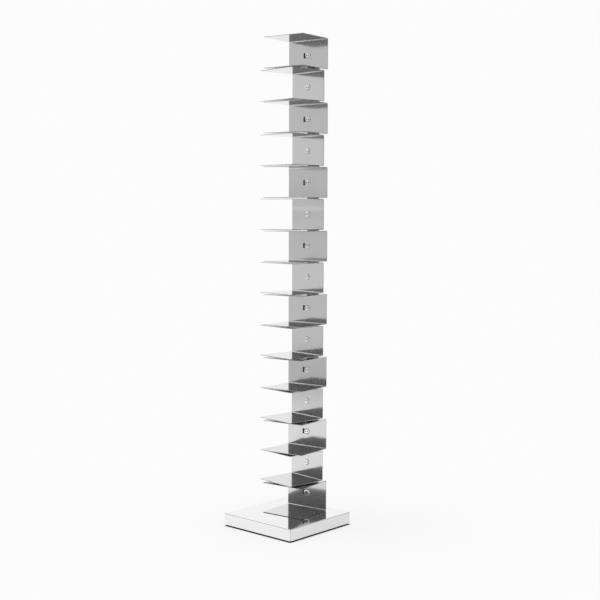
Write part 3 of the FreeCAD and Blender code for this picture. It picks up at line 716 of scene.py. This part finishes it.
def add_bevel(piece, width, segments=2, limit="ANGLE"):
    bevel = piece.modifiers.new("bevel", "BEVEL")
    bevel.width = width
    bevel.segments = segments
    bevel.limit_method = limit
    bevel.angle_limit = EDGE_ANGLE
    bevel.use_clamp_overlap = True
    bevel.miter_outer = "MITER_ARC"


def add_weighted_normals(piece):
    piece.modifiers.new("normals", "WEIGHTED_NORMAL").keep_sharp = True


def settle(piece):
    """Turns the evaluated object into a plain mesh and removes its modifiers."""
    graph = bpy.context.evaluated_depsgraph_get()
    mesh = bpy.data.meshes.new_from_object(piece.evaluated_get(graph), depsgraph=graph)
    mesh.name = piece.name
    piece.modifiers.clear()
    piece.data = mesh


print("edges over", round(math.degrees(EDGE_ANGLE)), "degrees are eased")

# %% Fifteen trays
TRAY_COUNT = 15
TRAY_HEIGHT = 120 * MM
SHEET_GAUGE = 2 * MM
CORNER_ROUND = 2 * MM
CORNER_STEPS = 4
SHEET_EASE = 0.25 * MM
BASE_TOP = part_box("base_cover")[1].z
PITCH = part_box("tray_02")[0].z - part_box("tray_01")[0].z


def make_tray(index):
    side = 1 if index % 2 == 0 else -1   # the lowest one turns anticlockwise, seen from above
    node = f"tray_{index + 1:02d}"
    # The lowest tray's cut edges take the near-black edge steel, a painted shade
    piece = tree_object(f"{node}_sheet", tray_tree, {
        "Width": 185 * MM, "Depth": 170 * MM, "Height": TRAY_HEIGHT, "Gauge": SHEET_GAUGE,
        "Bend": 4.5 * MM, "Bend Steps": 10, "Hole": 8.5 * MM, "Window Width": 9.5 * MM,
        "Window Height": 20.5 * MM, "Window Offset": 17 * MM, "Has Window": side > 0,
        "Turn": side * LEAN, "Setback": TRAY_BACK, "Level": BASE_TOP + index * PITCH,
        "Steel": tray_steel[side], "Cut Edge": cut_steel if index else shade_painted_cut_steel})
    add_bevel(piece, CORNER_ROUND, CORNER_STEPS, "WEIGHT")
    add_bevel(piece, SHEET_EASE)
    add_weighted_normals(piece)
    settle(piece)
    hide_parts(node)
    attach(piece, "root")
    return piece


trays = [make_tray(index) for index in range(TRAY_COUNT)]
print(len(trays), "trays of", len(trays[0].data.polygons), "faces")

# %% [markdown]
# ## The bolts
# One low head holds each tray, with two blind holes for a pin spanner. Its profile is a superellipse,
# flat in the middle and round at the rim. A grid is bent into that shape by a formula: one direction
# runs from the middle over the rim to the back, the other goes round. A sphere that is pressed flat
# would be domed all the way across. The shank is joined on and the holes are cut once. Then the finished
# bolt is set on a point at every level.

# %% Bolt inputs
bolt_tree, bolt = geometry_tree("tray_bolts", {
    "Head Diameter": "Float", "Head Height": "Float", "Roundness": "Float",
    "Shank Diameter": "Float", "Shank Length": "Float", "Hole Diameter": "Float",
    "Hole Spacing": "Float", "Hole Depth": "Float", "Gauge": "Float", "Setback": "Float",
    "First Level": "Float", "Pitch": "Float", "Count": "Int", "Lean": "Float", "Steel": "Material",
    "Pin Hole": "Material"})
print("the bolts have", len(bolt), "inputs")

# %% Bolt head
RINGS = 16                               # from the middle over the rim; the last one closes the back
SPOKES = 72
POLE_MERGE = 0.005 * MM

grid = bolt_tree.node("GeometryNodeMeshGrid", sockets={
    "Size X": RINGS, "Size Y": 2 * math.pi, "Vertices X": RINGS + 1, "Vertices Y": SPOKES + 1})
on_grid = parts(bolt_tree, "GeometryNodeInputPosition")
ring = on_grid + RINGS / 2
round_angle = on_grid.out("Y")
lean_out = bolt_tree.math("MINIMUM", ring / (RINGS - 1), 1.0) * (math.pi / 2)
is_before_back = bolt_tree.math("LESS_THAN", ring, RINGS - 0.5)
out_share = bolt_tree.math("POWER", bolt_tree.math("SINE", lean_out), bolt["Roundness"])
up_share = bolt_tree.math("POWER", bolt_tree.math("MAXIMUM", bolt_tree.math("COSINE", lean_out), 0.0),
                          bolt["Roundness"])
radius = bolt["Head Diameter"] / 2 * out_share * is_before_back
head_points = vector(bolt_tree,
                     radius * bolt_tree.math("COSINE", round_angle),
                     -(bolt["Head Height"] * up_share),
                     radius * bolt_tree.math("SINE", round_angle))
head = bolt_tree.node("GeometryNodeSetPosition", sockets={"Geometry": grid, "Position": head_points})
head = bolt_tree.node("GeometryNodeMergeByDistance", sockets={"Geometry": head, "Distance": POLE_MERGE})
print("head of", RINGS, "rings and", SPOKES, "spokes")

# %% Shank and pin holes
BURIED = 1 * MM                          # the shank starts inside the head
PIN_STEPS = 32
SLIVER_MERGE = 0.01 * MM                 # a cut or a bevel leaves slivers shorter than this

shank = bolt_tree.node("GeometryNodeMeshCylinder", sockets={
    "Vertices": ROUND_STEPS, "Radius": bolt["Shank Diameter"] / 2,
    "Depth": bolt["Shank Length"] + BURIED})
shank = moved(bolt_tree, shank, vector(bolt_tree, y=(bolt["Shank Length"] - BURIED) / 2),
              turned(bolt_tree, *LYING))
solid_bolt = bolt_tree.node("GeometryNodeMeshBoolean", {"operation": "UNION", "solver": "EXACT"}, {
    "Mesh 2": [head, shank]})
pin = bolt_tree.node("GeometryNodeMeshCylinder", sockets={
    "Vertices": PIN_STEPS, "Radius": bolt["Hole Diameter"] / 2, "Depth": 2 * bolt["Hole Depth"]})
# The pin holes' walls take the black paint: painted shade inside the blind holes
pin = bolt_tree.node("GeometryNodeSetMaterial", sockets={"Geometry": pin, "Material": bolt["Pin Hole"]})
pins = [moved(bolt_tree, pin,
              vector(bolt_tree, side * bolt["Hole Spacing"] / 2, -bolt["Head Height"]),
              turned(bolt_tree, *LYING))
        for side in (-1, 1)]
one_bolt = bolt_tree.node("GeometryNodeMergeByDistance", sockets={
    "Geometry": cut(bolt_tree, solid_bolt, pins), "Distance": SLIVER_MERGE})
one_bolt = moved(bolt_tree, one_bolt, vector(bolt_tree, y=-bolt["Gauge"]))
print(len(pins), "pin holes")

# %% A bolt at every level
levels = bolt_tree.node("GeometryNodeMeshLine", {"mode": "OFFSET"}, {
    "Count": bolt["Count"],
    "Start Location": vector(bolt_tree, y=bolt["Setback"], z=bolt["First Level"]),
    "Offset": vector(bolt_tree, z=bolt["Pitch"])})
is_left = bolt_tree.math("MODULO", bolt_tree.node("GeometryNodeInputIndex"), 2.0)
stack = bolt_tree.node("GeometryNodeInstanceOnPoints", sockets={
    "Points": levels, "Instance": one_bolt,
    "Rotation": turned(bolt_tree, z=bolt["Lean"] * (1 - 2 * is_left))})
finished(bolt_tree, stack, bolt["Pin Hole"], bolt["Steel"])
print("bolt tree of", len(bolt_tree.data.nodes), "nodes")

# %% Fifteen bolts
SHARP_ANGLE = math.radians(35)

# The pin holes get the black paint, which stands for the shade inside them: painted shade
bolts = tree_object("tray_bolts_turned", bolt_tree, {
    "Head Diameter": 25 * MM, "Head Height": 3.5 * MM, "Roundness": 0.35, "Shank Diameter": 8 * MM,
    "Shank Length": 14.5 * MM, "Hole Diameter": 5 * MM, "Hole Spacing": 12.5 * MM,
    "Hole Depth": 2 * MM, "Gauge": SHEET_GAUGE, "Setback": TRAY_BACK,
    "First Level": BASE_TOP + TRAY_HEIGHT / 2, "Pitch": PITCH, "Count": TRAY_COUNT, "Lean": LEAN,
    "Steel": bolt_steel, "Pin Hole": black_paint_and_hole_shade})
settle(bolts)
bolts.data.shade_smooth()
bolts.data.set_sharp_from_angle(angle=SHARP_ANGLE)
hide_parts("tray_bolts")
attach(bolts, "root")
print("bolts", len(bolts.data.vertices), "vertices")

# %% [markdown]
# ## The base cover
# The base is a shallow box of mirror-polished sheet, open below, with a slot for the post. A block gets
# its rounded folds from one bevel. A second block then hollows it, and a third cuts the slot. A last
# fine bevel eases the rim. It could be folded from a sheet like the trays, but four folds that meet in
# corners are easier to round on a block. On a mirror, every wrong normal shows, so weighted normals keep
# it flat. The four upright corners are welded and ground on the real cover, so they are satin.


# %% Blocks and cuts
def block(name, lower, upper):
    """A box from one corner to the other, as an object at the origin."""
    box = bmesh.new()
    bmesh.ops.create_cube(box, size=1.0)
    bmesh.ops.scale(box, vec=upper - lower, verts=box.verts)
    bmesh.ops.translate(box, vec=(lower + upper) / 2, verts=box.verts)
    mesh = bpy.data.meshes.new(name)
    box.to_mesh(mesh)
    box.free()
    mesh.shade_smooth()
    made = bpy.data.objects.new(name, mesh)
    scene.collection.objects.link(made)
    return made


def carve(piece, tools):
    """Takes the tools out of the piece, and deletes them."""
    for tool in tools:
        cutting = piece.modifiers.new("cut", "BOOLEAN")
        cutting.operation = "DIFFERENCE"
        cutting.solver = "EXACT"
        cutting.object = tool
    settle(piece)
    for tool in tools:
        bpy.data.objects.remove(tool)


print("blocks can be carved")

# %% Folded block
FOLD_RADIUS = 2.5 * MM
FOLD_STEPS = 6

cover_low, cover_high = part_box("base_cover")
cover = block("base_cover_folded", cover_low, cover_high)
weights = cover.data.attributes.new("bevel_weight_edge", "FLOAT", "EDGE")
for edge in cover.data.edges:
    ends = [cover.data.vertices[corner].co for corner in edge.vertices]
    is_fold = max(end.z for end in ends) > cover_high.z - MM      # all edges but the rim's
    weights.data[edge.index].value = float(is_fold)
add_bevel(cover, FOLD_RADIUS, FOLD_STEPS, "WEIGHT")
settle(cover)
print("folded block", len(cover.data.polygons), "faces")

# %% Hollow and slot
COVER_GAUGE = 2 * MM
SLOT_CLEARANCE = 0.5 * MM
RIM_EASE = 0.3 * MM

wall = Vector((COVER_GAUGE, COVER_GAUGE, 0))
roof = Vector((0, 0, COVER_GAUGE))
open_below = Vector((0, 0, 1))
play = Vector((SLOT_CLEARANCE, SLOT_CLEARANCE, 0))
post_low, post_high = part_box("spine_post")
carve(cover, [block("hollow", cover_low + wall - open_below, cover_high - wall - roof),
              block("slot", post_low - play, post_high + play)])
add_bevel(cover, RIM_EASE)
add_weighted_normals(cover)
settle(cover)
print("hollow cover", len(cover.data.polygons), "faces")

# %% Mirror and ground corners
SEAM_LIMIT = 0.2                         # a face turned this far from both walls is a corner's

cover.data.materials.clear()
cover.data.materials.append(mirror_steel)
cover.data.materials.append(satin_steel)
for face in cover.data.polygons:
    is_turned = min(abs(face.normal.x), abs(face.normal.y)) > SEAM_LIMIT
    face.material_index = int(is_turned and abs(face.normal.z) < SEAM_LIMIT)
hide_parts("base_cover")
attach(cover, "root")
print("ground faces", sum(face.material_index for face in cover.data.polygons))

# %% [markdown]
# ## Easing the CAD pieces
# The wedge blocks, the cap, the feet and the ballast plate have the right shape already, but the knife
# edges of a CAD model. Modelling them anew would only risk their fit. So a copy of each is merged, its
# flat faces are joined, and a small bevel breaks the edges, as a mould or a file does. The piece then
# catches a thin light along every edge.

# %% Eased copies
FLAT_ANGLE = math.radians(1)
MOULDED_EASE = 0.5 * MM
SOFT_EASE = 0.8 * MM


def ease(node, width, finish):
    piece = bpy.data.objects.new(f"{node}_eased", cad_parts[node].data.copy())
    scene.collection.objects.link(piece)
    shell = bmesh.new()
    shell.from_mesh(piece.data)
    bmesh.ops.remove_doubles(shell, verts=shell.verts, dist=SLIVER_MERGE)
    bmesh.ops.dissolve_limit(shell, angle_limit=FLAT_ANGLE, verts=shell.verts, edges=shell.edges)
    shell.to_mesh(piece.data)
    shell.free()
    piece.data.shade_smooth()
    add_bevel(piece, width)
    piece.modifiers.new("weld", "WELD").merge_threshold = SLIVER_MERGE
    add_weighted_normals(piece)
    settle(piece)
    piece.data.materials.clear()
    piece.data.materials.append(finish)
    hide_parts(node)
    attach(piece, "root")
    return piece


eased = [ease(f"wedge_{index + 1:02d}", MOULDED_EASE, black_plastic)
         for index in range(TRAY_COUNT)]
eased.append(ease("spine_cap", SOFT_EASE, black_plastic))
eased.append(ease("ballast_plate", MOULDED_EASE, black_paint_and_hole_shade))
for name in ("foot_front_left", "foot_front_right", "foot_rear_right", "foot_rear_left"):
    eased.append(ease(name, SOFT_EASE, foot_rubber))
print(len(eased), "eased copies")

# %% [markdown]
# ## The pieces that stay as they are
# The post has its rounded corners already, and the screws, nuts, studs and washers are mostly hidden.
# Eased copies of them would cost triangles that nobody sees. So they keep their CAD shape and only get a
# finish, by the beginning of their names.

# %% Finishes by name
FINISHES = {
    "spine_post": satin_steel, "spine_foot_plate": black_paint_and_hole_shade, "foot_screws": zinc_steel,
    "cover_": zinc_steel, "anchor_": zinc_steel, "wedge_screws": zinc_steel, "tray_nuts": zinc_steel}
for start, finish in FINISHES.items():
    for name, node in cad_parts.items():
        if name.startswith(start):
            for slot in node.material_slots:
                slot.material = finish
print(len(FINISHES), "finishes given")
